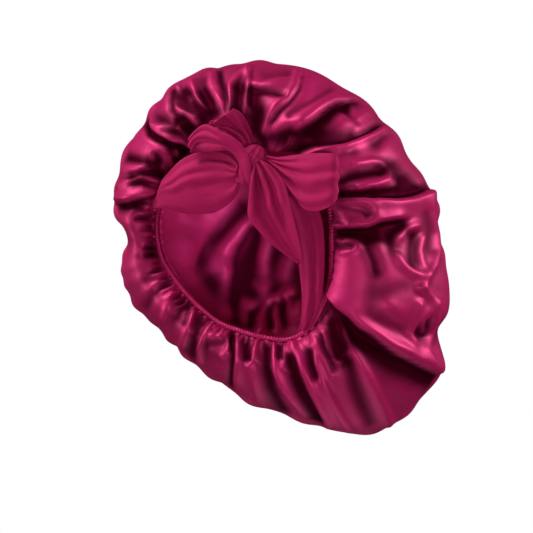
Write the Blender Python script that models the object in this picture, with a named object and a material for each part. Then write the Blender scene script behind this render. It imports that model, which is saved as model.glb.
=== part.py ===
# Sleep bonnet: a full satin crown with its own lining, an elastic casing round the opening
# and two sewn tie straps knotted in a bow at the brow.
#
# Frame: the origin is the centre of the opening, -Y is the way out towards the wearer's face,
# +Z is up at the brow and +X is to the right seen from the front.
# The tables are in millimetres and degrees. MM turns them into metres where a mesh is made.

import math

import bpy
import numpy as np

MM = 0.001
GAP = 0.35                # clearance between neighbouring pieces
CROWN_WALL = 2.0          # satin of the crown with its seams
LINING_WALL = 1.5
TIE_WALL = 1.6            # a tie strap is a flat tube of cloth, two layers
CASING_WIDTH = 5.0        # elastic casing, across the edge of the opening
CASING_DEPTH = 6.0        # elastic casing, front to back
CASING_CENTRE = 1.5       # how far the casing's middle lies behind the opening's plane
CROWN_BACK = 165.0        # depth of the crown behind the opening
LINING_BACK = 112.0
LINING_SHARE = 0.35       # fullness of the lining against the crown's
PICTURE_TURN = 25.0       # the bow is laid out as seen from this far round to the right

CROWN_COLUMNS = 108
CROWN_ROWS = 12
LINING_COLUMNS = 48
LINING_ROWS = 9
CASING_SIDES = 6

# The opening and the crown round its axis: angle 0 is +X and 90 is the brow.
# mouth: radius of the opening; reach: largest radius of the crown;
# depth: how far back the widest place lies; belly: how far the front bulges forward.
SECTION_COLUMNS = ("angle", "mouth", "reach", "depth", "belly")
SECTIONS = (
    (0, 92, 167, 80, 12),
    (15, 94, 168, 80, 12),
    (30, 98, 161, 78, 12),
    (45, 99, 162, 76, 13),
    (60, 100, 163, 74, 16),
    (75, 99, 171, 72, 18),
    (90, 98, 174, 70, 20),
    (105, 98, 179, 66, 20),
    (119, 97, 183, 62, 20),
    (130, 96, 172, 58, 18),
    (145, 93, 168, 56, 18),
    (158, 91, 162, 54, 18),
    (170, 89, 152, 52, 18),
    (181, 86, 135, 50, 16),
    (192, 83, 147, 50, 16),
    (205, 78, 147, 52, 16),
    (225, 75, 136, 54, 16),
    (240, 76, 138, 56, 16),
    (255, 80, 147, 60, 16),
    (270, 84, 163, 66, 16),
    (285, 93, 182, 72, 16),
    (300, 105, 213, 80, 16),
    (312, 107, 216, 86, 14),
    (323, 103, 215, 90, 14),
    (331, 101, 188, 88, 13),
    (345, 95, 182, 84, 12),
)

# The large folds of the crown. start, end: angle at the opening and at the widest place;
# height: above the cloth beside it (a furrow is negative); spread: half width in degrees;
# first, last: the run along the cloth from the opening (0) to the middle of the back (1).
FOLDS = (                 # start, end, height, spread, first, last
    (10, 11, 9, 3.5, 0.02, 0.75),
    (14, 15, -8, 2.6, 0.02, 0.55),
    (22, 25, 8, 4.0, 0.02, 0.70),
    (33, 33, 7, 3.5, 0.02, 0.60),
    (45, 42, 9, 5.0, 0.02, 0.80),
    (52, 50, -8, 3.5, 0.02, 0.55),
    (70, 59, 12, 6.5, 0.02, 0.85),
    (76, 73, -8, 3.0, 0.02, 0.50),
    (80, 93, 11, 4.0, 0.02, 0.70),
    (90, 102, 9, 3.5, 0.02, 0.60),
    (100, 110, 9, 3.0, 0.02, 0.70),
    (110, 121, 8, 3.0, 0.02, 0.55),
    (119, 130, 11, 3.5, 0.02, 0.80),
    (124, 136, -8, 2.5, 0.02, 0.45),
    (132, 147, 11, 5.0, 0.02, 0.75),
    (144, 160, 9, 4.5, 0.02, 0.60),
    (155, 169, 11, 4.0, 0.02, 0.75),
    (159, 175, -8, 2.5, 0.02, 0.50),
    (168, 186, 9, 5.5, 0.02, 0.80),
    (184, 197, 8, 4.0, 0.02, 0.55),
    (196, 206, 9, 4.0, 0.02, 0.70),
    (209, 216, 8, 3.5, 0.02, 0.55),
    (221, 226, 9, 4.5, 0.02, 0.75),
    (235, 238, 9, 4.0, 0.02, 0.60),
    (249, 250, 9, 4.5, 0.02, 0.80),
    (262, 260, 8, 3.5, 0.02, 0.55),
    (273, 267, 11, 4.0, 0.02, 0.70),
    (287, 284, 11, 4.5, 0.02, 0.80),
    (299, 292, 9, 3.0, 0.02, 0.60),
    (307, 299, 9, 3.0, 0.02, 0.70),
    (314, 308, 11, 3.5, 0.02, 0.75),
    (322, 324, 12, 4.0, 0.04, 0.60),
    (336, 335, 8, 9.0, 0.02, 0.60),
    (316, 317, -7, 2.6, 0.02, 0.60),
    (348, 346, 8, 4.0, 0.02, 0.60),
    (358, 356, 7, 4.0, 0.02, 0.80),
)
FOLD_MEAN = 4.0           # the folds rise this much on average, which is taken off again
GATHERS = 36              # small even gathers of the elastic, between the large folds
GATHER_HEIGHT = 1.3

# The broad folds of the lining, with the same columns as those of the crown.
LINING_FOLDS = (          # start, end, height, spread, first, last
    (20, 30, 5, 8, 0.05, 0.9),
    (60, 50, 6, 9, 0.05, 0.9),
    (100, 95, 5, 8, 0.05, 0.9),
    (140, 132, 6, 8, 0.05, 0.9),
    (170, 178, 7, 9, 0.05, 0.9),
    (200, 204, 5, 7, 0.05, 0.8),
    (232, 240, 7, 8, 0.05, 0.9),
    (258, 268, 6, 6, 0.05, 0.8),
    (282, 290, 7, 6, 0.05, 0.9),
    (305, 312, 6, 6, 0.05, 0.8),
    (335, 345, 6, 8, 0.05, 0.9),
)

# Tie straps and bow, laid out as seen in the turned view: right, up and out towards the viewer.
# Each row is one station along the cloth: right, up, out of one edge; right, up, out of the other
# edge; full: how far the middle of the cloth stands proud of the line between the edges; pleat:
# height of its small lengthwise folds.
LEFT_STRAP = (            # from its sewn end on the left, across the top of the opening, to the knot
    (-85.0, 40.0, -31.6, -84.5, 32.3, -31.6, 0.0, 0.0),
    (-79.8, 44.7, -25, -78.9, 30.9, -24, 0.8, 0.2),
    (-75.0, 57.0, -16, -69.4, 30.4, -15, 3.0, 0.6),
    (-66.5, 66.0, -7, -53.2, 25.7, -5, 5.0, 1.0),
    (-54.2, 77.5, 0, -39.9, 24.7, 4, 6.0, 1.2),
    (-38.0, 83.6, 4, -24.7, 25.7, 10, 6.0, 1.2),
    (-17.1, 82.0, 10, -11.4, 33.3, 17, 5.0, 1.2),
    (-6.0, 75.0, 18, -2.0, 44.0, 22, 3.0, 0.8),
    (-1.5, 67.5, 26.5, -0.1, 58.0, 26.5, 0.6, 0.3),
)
RIGHT_STRAP = (           # from its sewn end at the lower right of the opening up to the knot
    (54.5, -86.0, 30.2, 63.5, -85.0, 32.2, 0.0, 0.0),
    (57.5, -74.1, 34, 72.0, -70.4, 40, 1.0, 0.2),
    (58.5, -55.1, 38, 77.0, -49.5, 44, 2.0, 0.6),
    (57.0, -36.1, 38, 79.0, -22.9, 44, 2.5, 0.8),
    (54.2, -14.3, 37, 78.5, 3.8, 43, 3.0, 0.8),
    (49.4, 7.6, 36, 75.0, 24.7, 42, 3.0, 0.8),
    (40.9, 28.5, 32, 63.0, 45.6, 37, 2.5, 0.8),
    (29.0, 44.0, 25, 41.0, 57.0, 26, 1.5, 0.5),
    (14.9, 52.9, 27.0, 18.4, 60.9, 26.4, 0.4, 0.2),
)
LEFT_LOOP = (             # out of the knot at the back, round the outer end and back over the front
    (5.5, 85.5, 28.6, 2.6, 78.0, 28.6, 0.3, 0.1),
    (-11.4, 95.0, 20, -11.4, 84.5, 21, 1.0, 0.3),
    (-28.5, 101.7, 13, -28.5, 83.5, 15, 2.0, 0.5),
    (-41.0, 99.8, 8, -41.8, 84.0, 9, 1.5, 0.5),
    (-47.5, 96.0, 12, -46.6, 83.0, 13, 0.0, 0.2),
    (-41.5, 102.6, 20, -40.6, 92.2, 20, 0.5, 0.2),
    (-31.4, 108.3, 28, -28.9, 91.2, 27, 1.5, 0.5),
    (-19.0, 101.7, 36, -17.1, 88.4, 33, 1.5, 0.5),
    (-7.0, 95.0, 39, -8.6, 82.7, 36, 1.0, 0.3),
    (3.7, 83.5, 34.4, 0.9, 75.5, 32.4, 0.3, 0.1),
)
RIGHT_LOOP = (            # out of the knot over the front, round the outer end and back behind
    (23.6, 79.5, 34.1, 25.4, 71.0, 33.1, 0.3, 0.1),
    (34.2, 76.5, 40, 34.2, 62.7, 37, 1.5, 0.6),
    (47.5, 77.4, 49, 46.6, 44.7, 46, 3.0, 1.2),
    (63.7, 78.9, 60, 58.9, 28.6, 56, 3.0, 1.2),
    (77.9, 79.3, 68, 71.3, 25.7, 64, 3.0, 1.0),
    (87.4, 77.9, 73, 83.7, 30.5, 71, 1.5, 0.5),
    (90.2, 74.1, 69.5, 89.8, 38.0, 68.5, 0.5, 0.2),
    (84.0, 73.0, 63.5, 79.9, 35.3, 61.5, 0.5, 0.2),
    (68.0, 71.0, 52, 62.0, 36.0, 48, 0.5, 0.2),
    (48.0, 70.0, 41, 44.0, 50.0, 38, 0.5, 0.2),
    (33.0, 71.0, 33, 31.5, 60.5, 31, 0.3, 0.1),
    (22.8, 69.8, 29.8, 23.4, 63.8, 28.8, 0.2, 0.1),
)
UPPER_TAIL = (            # the cut end that stands up behind the left loop
    (3.9, 88.2, 31.1, 11.9, 89.6, 31.1, 0.3, 0.1),
    (-6.0, 98.0, 28, 11.4, 98.9, 29, 1.0, 0.4),
    (-20.0, 105.5, 27, 8.6, 107.4, 30, 1.5, 0.8),
    (-29.3, 108.0, 27, 2.9, 116.9, 33.5, 1.5, 0.8),
    (-25.7, 110.7, 30, -5.7, 122.2, 35, 0.8, 0.4),
)
LOWER_TAIL = (            # the cut end that hangs over the opening, pointed at its tip
    (16.1, 58.1, 38.4, 19.7, 67.3, 37.9, 0.3, 0.1),
    (13.0, 48.0, 43, 33.3, 64.0, 46, 1.8, 0.5),
    (9.5, 36.1, 45, 40.9, 52.3, 52, 3.0, 1.2),
    (8.6, 20.9, 46, 45.6, 38.0, 54, 3.5, 1.4),
    (16.2, 10.5, 47, 50.1, 20.9, 54, 3.5, 1.2),
    (26.6, -1.0, 48, 54.6, 3.8, 53, 2.5, 0.8),
    (41.8, -13.3, 49, 58.0, -11.4, 52, 1.2, 0.4),
    (54.2, -22.0, 50, 59.4, -22.5, 50, 0.3, 0.1),
)
TIE_ROWS = 2              # rows of faces between two stations
TIE_FACES = 7             # faces across the cloth
TIE_PLEATS = 2.5          # lengthwise folds across the cloth

KNOT_CENTRE = (10.5, 69.0, 32.0)     # right, up, out
KNOT_LENGTH = 42.0
KNOT_WIDTH = 22.0
KNOT_DEPTH = 17.0
KNOT_LEAN = 18.0          # degrees from upright, its top to the right
KNOT_CREASES = 5
KNOT_COLUMNS = 24
KNOT_ROWS = 13

# name: colour, roughness, metallic
FINISHES = {
    "satin": ((0.26, 0.012, 0.068, 1.0), 0.32, 0.10),
    "lining_satin": ((0.27, 0.014, 0.075, 1.0), 0.36, 0.08),
    "tie_cloth": ((0.31, 0.010, 0.062, 1.0), 0.62, 0.0),
}


def column(table, names, name):
    place = names.index(name)
    return np.array([row[place] for row in table], dtype=float)


def cubic(knots, values, slopes, at):
    # The usual Hermite cubic between neighbouring knots. values may hold one row per knot.
    place = np.clip(np.searchsorted(knots, at, side="right") - 1, 0, len(knots) - 2)
    step = (knots[1:] - knots[:-1])[place]
    share = (at - knots[place]) / step
    if values.ndim > 1:
        step = step[:, None]
        share = share[:, None]
    start = values[place] * (2 * share**3 - 3 * share**2 + 1)
    end = values[place + 1] * (3 * share**2 - 2 * share**3)
    leave = slopes[place] * step * (share**3 - 2 * share**2 + share)
    arrive = slopes[place + 1] * step * (share**3 - share**2)
    return start + end + leave + arrive


def knot_slopes(knots, values):
    # Each inner knot takes the slope of the parabola through it and its two neighbours.
    step = np.diff(knots)
    if values.ndim > 1:
        step = step[:, None]
    rate = np.diff(values, axis=0) / step
    slopes = np.zeros_like(values)
    slopes[1:-1] = (rate[:-1] * step[1:] + rate[1:] * step[:-1]) / (step[1:] + step[:-1])
    slopes[0] = 1.5 * rate[0] - 0.5 * slopes[1]
    slopes[-1] = 1.5 * rate[-1] - 0.5 * slopes[-2]
    return slopes


def around(name, angles):
    # A column of SECTIONS at any angles, smooth all the way round.
    knots = column(SECTIONS, SECTION_COLUMNS, "angle")
    values = column(SECTIONS, SECTION_COLUMNS, name)
    knots = np.concatenate([knots[-3:] - 360.0, knots, knots[:3] + 360.0])
    values = np.concatenate([values[-3:], values, values[:3]])
    return cubic(knots, values, knot_slopes(knots, values), np.mod(angles, 360.0))


def revolve(stations, angles, runs):
    # stations: run, radius and depth of the meridian, where radius and depth hold a value per angle.
    knots = np.array([station[0] for station in stations])
    radius = np.stack([station[1] for station in stations])
    depth = np.stack([station[2] for station in stations])
    radius = cubic(knots, radius, knot_slopes(knots, radius), runs)
    depth = cubic(knots, depth, knot_slopes(knots, depth), runs)
    turn = np.radians(angles)
    return np.stack([radius * np.cos(turn), depth, radius * np.sin(turn)], axis=-1)


def crown_base(angles, runs):
    # The crown without folds: out and forward from the casing, round the belly, back to a point.
    mouth = around("mouth", angles) + CASING_WIDTH + GAP
    reach = around("reach", angles)
    depth = around("depth", angles)
    belly = around("belly", angles)
    flare = reach - mouth
    rest = CROWN_BACK - depth
    stations = (
        (0.00, mouth, 0.0 * mouth),
        (0.06, mouth + 0.08 * flare, -0.62 * belly),
        (0.16, mouth + 0.32 * flare, -belly),
        (0.28, mouth + 0.68 * flare, -0.15 * belly + 0.06 * depth),
        (0.38, mouth + 0.92 * flare, 0.46 * depth),
        (0.48, reach, depth),
        (0.60, 0.93 * reach, depth + 0.52 * rest),
        (0.72, 0.74 * reach, depth + 0.80 * rest),
        (0.86, 0.40 * reach, depth + 0.96 * rest),
        (1.00, 0.0 * reach, CROWN_BACK + 0.0 * reach),
    )
    return revolve(stations, angles, runs)


def lining_base(angles, runs):
    # The lining: straight back from behind the casing, then out and round inside the crown.
    mouth = around("mouth", angles)
    reach = mouth + LINING_SHARE * (around("reach", angles) - mouth)
    depth = 0.55 * around("depth", angles)
    start = CASING_CENTRE + CASING_DEPTH / 2.0 + GAP
    rest = LINING_BACK - depth
    stations = (
        (0.00, mouth + 2.0, start + 0.0 * mouth),
        (0.10, mouth + 4.0, start + 9.0 + 0.0 * mouth),
        (0.24, 0.45 * mouth + 0.55 * reach, 0.50 * depth + 8.0),
        (0.42, reach, depth),
        (0.58, 0.92 * reach, depth + 0.52 * rest),
        (0.72, 0.72 * reach, depth + 0.80 * rest),
        (0.86, 0.40 * reach, depth + 0.96 * rest),
        (1.00, 0.0 * reach, LINING_BACK + 0.0 * reach),
    )
    return revolve(stations, angles, runs)


def outward(surface):
    # Unit normals of a surface of rows that run round and end in one point at the back.
    along = np.gradient(surface, axis=0)
    across = np.roll(surface, -1, axis=1) - np.roll(surface, 1, axis=1)
    normal = np.cross(along, across)
    normal[-1] = (0.0, 1.0, 0.0)
    return normal / np.linalg.norm(normal, axis=2, keepdims=True)


def smooth_step(low, high, value):
    share = np.clip((value - low) / (high - low), 0.0, 1.0)
    return share * share * (3.0 - 2.0 * share)


def relief(folds, angles, runs):
    # The sum of all folds: a bell across each fold, which fades in and out along its run.
    total = np.zeros((len(runs), len(angles)))
    for start, end, height, spread, first, last in folds:
        centre = start + (end - start) * smooth_step(0.0, 0.45, runs)
        aside = np.mod(angles[None, :] - centre[:, None] + 180.0, 360.0) - 180.0
        fade = smooth_step(first, first + 0.10, runs) * (1.0 - smooth_step(last - 0.35, last, runs))
        total += height * np.exp(-((aside / spread) ** 2)) * fade[:, None]
    return total


def crown_skin(angles, runs):
    # Outer face of the crown and the directions in which its wall lies.
    base = crown_base(angles, runs)
    normal = outward(base)
    height = relief(FOLDS, angles, runs)
    height -= FOLD_MEAN * (smooth_step(0.04, 0.16, runs) * (1.0 - smooth_step(0.5, 0.9, runs)))[:, None]
    gather = np.sin(np.radians(angles) * GATHERS)[None, :]
    near = smooth_step(0.0, 0.04, runs) * (1.0 - smooth_step(0.12, 0.30, runs))
    height += GATHER_HEIGHT * gather * near[:, None]
    return base + normal * height[..., None], normal


def lining_skin(angles, runs):
    base = lining_base(angles, runs)
    normal = outward(base)
    height = -relief(LINING_FOLDS, angles, runs)
    return base + normal * height[..., None], normal


def finish_material(name):
    material = bpy.data.materials.get(name)
    if material is None:
        colour, roughness, metallic = FINISHES[name]
        material = bpy.data.materials.new(name)
        material.use_nodes = True
        shader = material.node_tree.nodes["Principled BSDF"]
        shader.inputs["Base Color"].default_value = colour
        shader.inputs["Roughness"].default_value = roughness
        shader.inputs["Metallic"].default_value = metallic
    return material


def add_object(name, points, faces, finish):
    mesh = bpy.data.meshes.new(name)
    mesh.from_pydata((np.asarray(points) * MM).tolist(), [], faces)
    mesh.update()
    mesh.shade_smooth()
    mesh.set_sharp_from_angle(angle=math.radians(50.0))
    mesh.materials.append(finish_material(finish))
    piece = bpy.data.objects.new(name, mesh)
    bpy.context.collection.objects.link(piece)
    return piece


def add_bag(name, skin, normal, wall, finish):
    # A bag of one wall: the skin, the same skin pushed in by the wall, and a hem round the mouth.
    rows, columns = skin.shape[0] - 1, skin.shape[1]
    inner = skin - normal * wall
    points = np.concatenate([
        skin[:-1].reshape(-1, 3),
        skin[-1:, 0],
        inner[:-1].reshape(-1, 3),
        inner[-1:, 0],
    ])
    side = rows * columns + 1
    faces = []
    for column_index in range(columns):
        after = (column_index + 1) % columns
        for row in range(rows - 1):
            here = row * columns
            there = here + columns
            faces.append((here + column_index, there + column_index, there + after, here + after))
            faces.append((
                side + here + after,
                side + there + after,
                side + there + column_index,
                side + here + column_index,
            ))
        last = (rows - 1) * columns
        faces.append((last + column_index, side - 1, last + after))
        faces.append((side + last + after, 2 * side - 1, side + last + column_index))
        faces.append((column_index, after, side + after, side + column_index))
    return add_object(name, points, faces, finish)


def add_ring(name, rings, finish):
    # Faces between rings of points, where the last ring meets the first and each ring is closed.
    count, sides = rings.shape[0], rings.shape[1]
    faces = []
    for ring in range(count):
        after = (ring + 1) % count
        for side in range(sides):
            beside = (side + 1) % sides
            faces.append((
                ring * sides + side,
                ring * sides + beside,
                after * sides + beside,
                after * sides + side,
            ))
    return add_object(name, rings.reshape(-1, 3), faces, finish)


def from_picture(right, up, out):
    # Turned view to the bonnet's own axes.
    turn = math.radians(PICTURE_TURN)
    x = right * math.cos(turn) + out * math.sin(turn)
    y = right * math.sin(turn) - out * math.cos(turn)
    return np.stack([x, y, up + 0.0 * x], axis=-1)


def tie_skin(stations):
    # Middle surface of a strip of cloth: rows along it, columns from one edge to the other.
    table = np.array(stations, dtype=float)
    knots = np.arange(len(table), dtype=float)
    rows = np.linspace(0.0, len(table) - 1.0, (len(table) - 1) * TIE_ROWS + 1)
    values = cubic(knots, table, knot_slopes(knots, table), rows)
    edge = from_picture(values[:, 0], values[:, 1], values[:, 2])
    other = from_picture(values[:, 3], values[:, 4], values[:, 5])
    share = np.linspace(0.0, 1.0, TIE_FACES + 1)
    flat = edge[:, None] + (other - edge)[:, None] * share[None, :, None]
    normal = strip_normal(flat)
    arch = 4.0 * share * (1.0 - share)
    wave = np.sin(2.0 * math.pi * TIE_PLEATS * share) * np.sqrt(arch)
    height = values[:, 6:7] * arch[None, :] + values[:, 7:8] * wave[None, :]
    return flat + normal * height[..., None]


def strip_normal(surface):
    along = np.gradient(surface, axis=0)
    across = np.gradient(surface, axis=1)
    normal = np.cross(across, along)
    return normal / np.linalg.norm(normal, axis=2, keepdims=True)


def add_strip(name, stations, finish):
    # A strip of cloth with a wall.
    skin = tie_skin(stations)
    normal = strip_normal(skin)
    front = skin + normal * TIE_WALL / 2.0
    back = skin - normal * TIE_WALL / 2.0
    # One ring of points per row: along the front, then back along the rear.
    rings = np.concatenate([front, back[:, ::-1]], axis=1)
    count, sides = rings.shape[0], rings.shape[1]
    faces = []
    for row in range(count - 1):
        for side in range(sides):
            beside = (side + 1) % sides
            faces.append((
                row * sides + side,
                row * sides + beside,
                (row + 1) * sides + beside,
                (row + 1) * sides + side,
            ))
    across = sides // 2
    for row, turned in ((0, False), (count - 1, True)):
        for side in range(across - 1):
            face = (
                row * sides + side,
                row * sides + sides - 1 - side,
                row * sides + sides - 2 - side,
                row * sides + side + 1,
            )
            faces.append(face[::-1] if turned else face)
    return add_object(name, rings.reshape(-1, 3), faces, finish)


def build_crown():
    angles = np.arange(CROWN_COLUMNS) * 360.0 / CROWN_COLUMNS
    share = np.linspace(0.0, 1.0, CROWN_ROWS + 1)
    runs = 0.62 * share + 0.38 * share**2      # closer rows on the belly
    skin, normal = crown_skin(angles, runs)
    add_bag("crown", skin, normal, CROWN_WALL, "satin")


def build_lining():
    angles = np.arange(LINING_COLUMNS) * 360.0 / LINING_COLUMNS
    runs = np.linspace(0.0, 1.0, LINING_ROWS + 1)
    skin, normal = lining_skin(angles, runs)
    add_bag("lining", skin, normal, LINING_WALL, "lining_satin")


def build_casing():
    # A rounded section carried round the opening, with shallow shirring on its front.
    angles = np.arange(CROWN_COLUMNS) * 360.0 / CROWN_COLUMNS
    sides = (np.arange(CASING_SIDES) + 0.5) * 2.0 * math.pi / CASING_SIDES
    radius = around("mouth", angles)[:, None] + CASING_WIDTH / 2.0
    radius = radius + CASING_WIDTH / 2.0 * np.cos(sides)[None, :] / math.cos(math.pi / CASING_SIDES)
    depth = CASING_CENTRE + CASING_DEPTH / 2.0 * np.sin(sides)[None, :]
    shirring = 0.4 * np.sin(np.radians(angles) * GATHERS)[:, None] * (np.sin(sides)[None, :] < 0.0)
    depth = depth + shirring
    turn = np.radians(angles)[:, None]
    rings = np.stack([radius * np.cos(turn), depth, radius * np.sin(turn)], axis=-1)
    add_ring("elastic_casing", rings, "satin")


def build_knot():
    # A lumpy oval of wrapped cloth: an ellipse turned round its long axis, with slanting creases.
    turn = np.arange(KNOT_COLUMNS) * 2.0 * math.pi / KNOT_COLUMNS
    rise = np.linspace(-0.5, 0.5, KNOT_ROWS + 1)[1:-1] * math.pi
    crease = 1.0 + 0.05 * np.sin(2.0 * KNOT_CREASES * rise[:, None] + turn[None, :])
    waist = np.cos(rise)[:, None] ** 0.75
    across = KNOT_WIDTH / 2.0 * waist * np.cos(turn)[None, :] * crease
    out = KNOT_DEPTH / 2.0 * waist * np.sin(turn)[None, :] * crease
    along = KNOT_LENGTH / 2.0 * np.sin(rise)[:, None] + 0.0 * across
    ends = np.array([(0.0, -KNOT_LENGTH / 2.0, 0.0), (0.0, KNOT_LENGTH / 2.0, 0.0)])
    local = np.concatenate([np.stack([across, along, out], axis=-1).reshape(-1, 3), ends])
    lean = math.radians(KNOT_LEAN)
    right = local[:, 0] * math.cos(lean) + local[:, 1] * math.sin(lean) + KNOT_CENTRE[0]
    up = local[:, 1] * math.cos(lean) - local[:, 0] * math.sin(lean) + KNOT_CENTRE[1]
    points = from_picture(right, up, local[:, 2] + KNOT_CENTRE[2])
    faces = []
    rows = KNOT_ROWS - 1
    low, high = rows * KNOT_COLUMNS, rows * KNOT_COLUMNS + 1
    for side in range(KNOT_COLUMNS):
        beside = (side + 1) % KNOT_COLUMNS
        for row in range(rows - 1):
            here = row * KNOT_COLUMNS
            there = here + KNOT_COLUMNS
            faces.append((here + side, there + side, there + beside, here + beside))
        faces.append((low, side, beside))
        last = (rows - 1) * KNOT_COLUMNS
        faces.append((last + beside, last + side, high))
    add_object("knot", points, faces, "tie_cloth")


def build_ties():
    add_strip("left_strap", LEFT_STRAP, "tie_cloth")
    add_strip("right_strap", RIGHT_STRAP, "tie_cloth")
    add_strip("left_loop", LEFT_LOOP, "tie_cloth")
    add_strip("right_loop", RIGHT_LOOP, "tie_cloth")
    add_strip("upper_tail", UPPER_TAIL, "tie_cloth")
    add_strip("lower_tail", LOWER_TAIL, "tie_cloth")


def main():
    for piece in list(bpy.data.objects):
        bpy.data.objects.remove(piece, do_unlink=True)
    build_crown()
    build_lining()
    build_casing()
    build_knot()
    build_ties()


main()
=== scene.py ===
import math

import bpy
import numpy as np
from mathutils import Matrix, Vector


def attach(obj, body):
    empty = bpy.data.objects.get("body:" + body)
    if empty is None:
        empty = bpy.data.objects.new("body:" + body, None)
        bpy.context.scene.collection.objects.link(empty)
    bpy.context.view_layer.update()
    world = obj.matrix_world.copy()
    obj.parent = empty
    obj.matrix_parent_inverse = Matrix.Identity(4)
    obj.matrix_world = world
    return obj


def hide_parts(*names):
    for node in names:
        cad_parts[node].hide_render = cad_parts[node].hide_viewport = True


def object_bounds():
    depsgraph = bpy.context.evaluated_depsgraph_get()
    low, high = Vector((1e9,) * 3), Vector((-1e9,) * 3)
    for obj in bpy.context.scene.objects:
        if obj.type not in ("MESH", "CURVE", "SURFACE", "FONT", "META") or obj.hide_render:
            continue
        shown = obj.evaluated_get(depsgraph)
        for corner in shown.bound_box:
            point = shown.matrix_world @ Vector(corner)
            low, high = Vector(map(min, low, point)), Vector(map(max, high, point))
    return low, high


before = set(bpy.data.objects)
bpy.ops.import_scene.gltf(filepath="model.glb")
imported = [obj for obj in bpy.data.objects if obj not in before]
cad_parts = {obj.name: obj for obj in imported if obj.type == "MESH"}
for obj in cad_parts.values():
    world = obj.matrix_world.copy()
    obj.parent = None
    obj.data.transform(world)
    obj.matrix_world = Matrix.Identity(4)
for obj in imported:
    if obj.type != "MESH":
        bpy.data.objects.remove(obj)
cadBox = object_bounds()
scene = bpy.context.scene

# Origin at the centre of the opening, -Y out towards the face, +Z up at the brow, +X right.
# Shapes are worked out in millimetres and go into the meshes in metres. Angles go round the
# opening in degrees, from +X over +Z, and runs go along a piece of cloth from 0 to 1.
millimetre = 0.001
fullTurn = 2.0 * math.pi
phaseSpan = 6.28         # random phases are drawn from 0 to here
viewTurn = 25.0          # folds and bow are drawn as seen from this far round to the right
white = (1.0, 1.0, 1.0, 1.0)


def tell(words):
    print("bonnet:", words, flush=True)


def smoothStep(low, high, value):
    # 0 below low, 1 above high, and a cubic without corners between them
    share = np.clip((value - low) / (high - low), 0.0, 1.0)
    return share * share * (3.0 - 2.0 * share)


def bell(value, width, power=2):
    # 1 at zero and 1/e at the width on both sides, with a flatter top for a higher power
    return np.exp(-(value / width)**power)


def degreesFrom(at, angles):
    # from one angle to the others, the short way round
    return np.mod(angles - at + 180.0, 360.0) - 180.0


def joined(*parts):
    # coordinates put together to points
    return np.stack(np.broadcast_arrays(*parts), axis=-1)


def curveThrough(knots, values, at):
    # cubic curve through values at knots: each inner knot takes the slope of the parabola
    # through it and its two neighbours
    tail = (1,) * (values.ndim - 1)
    step = np.diff(knots).reshape((-1,) + tail)
    rate = np.diff(values, axis=0) / step
    slope = np.zeros_like(values)
    slope[1:-1] = (rate[:-1] * step[1:] + rate[1:] * step[:-1]) / (step[1:] + step[:-1])
    slope[0] = 1.5 * rate[0] - 0.5 * slope[1]
    slope[-1] = 1.5 * rate[-1] - 0.5 * slope[-2]
    place = np.clip(np.searchsorted(knots, at, side="right") - 1, 0, len(knots) - 2)
    wide = step[place]
    share = (at - knots[place]).reshape((-1,) + tail) / wide
    return (values[place] * (2 * share**3 - 3 * share**2 + 1)
            + values[place + 1] * (3 * share**2 - 2 * share**3)
            + slope[place] * wide * (share**3 - 2 * share**2 + share)
            + slope[place + 1] * wide * (share**3 - share**2))


def respaced(grid, count):
    # a grid with another count of rows, by a cubic through the four nearest rows
    place = np.linspace(0, len(grid) - 1, count)
    low = np.floor(place).astype(int)
    share = (place - low)[:, None, None]
    a, b, c, d = (grid[np.clip(low + move, 0, len(grid) - 1)] for move in (-1, 0, 1, 2))
    bow = 2 * a - 5 * b + 4 * c - d + share * (3 * (b - c) + d - a)
    return b + 0.5 * share * (c - a + share * bow)


def facing(points, closed):
    # unit normals of a grid: the step along its rows crossed with the step across its columns
    if closed:
        across = np.roll(points, -1, 1) - np.roll(points, 1, 1)
    else:
        across = np.gradient(points, axis=1)
    normal = np.cross(np.gradient(points, axis=0), across)
    return normal / (np.linalg.norm(normal, axis=2, keepdims=True) + 1e-9)


def threadLengths(points, closed):
    # the steps across a grid's columns and along its rows
    steps = np.roll(points, -1, 1) - points if closed else np.diff(points, axis=1)
    return np.linalg.norm(steps, axis=2), np.linalg.norm(np.diff(points, axis=0), axis=2)


def pull(points, free, first, second, rest, firmness=1.0):
    # both ends of each thread move along it until it has its own length again
    gap = points[second] - points[first]
    length = np.sqrt((gap * gap).sum(-1)) + 1e-9
    share = firmness * (length - rest) / length / (free[first] + free[second] + 1e-9)
    points[first] += gap * (share * free[first])[..., None]
    points[second] -= gap * (share * free[second])[..., None]


def straightened(points, free, amount, axis, closed):
    # a point moves towards the middle of its two neighbours, which give way by half of that
    bend = (0.5 * (np.roll(points, 1, axis) + np.roll(points, -1, axis)) - points) * free[..., None]
    if not closed:
        ends = [slice(None)] * 3
        ends[axis] = [0, -1]
        bend[tuple(ends)] = 0.0
    move = bend - 0.5 * (np.roll(bend, 1, axis) + np.roll(bend, -1, axis))
    return points + amount * move * free[..., None]


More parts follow.
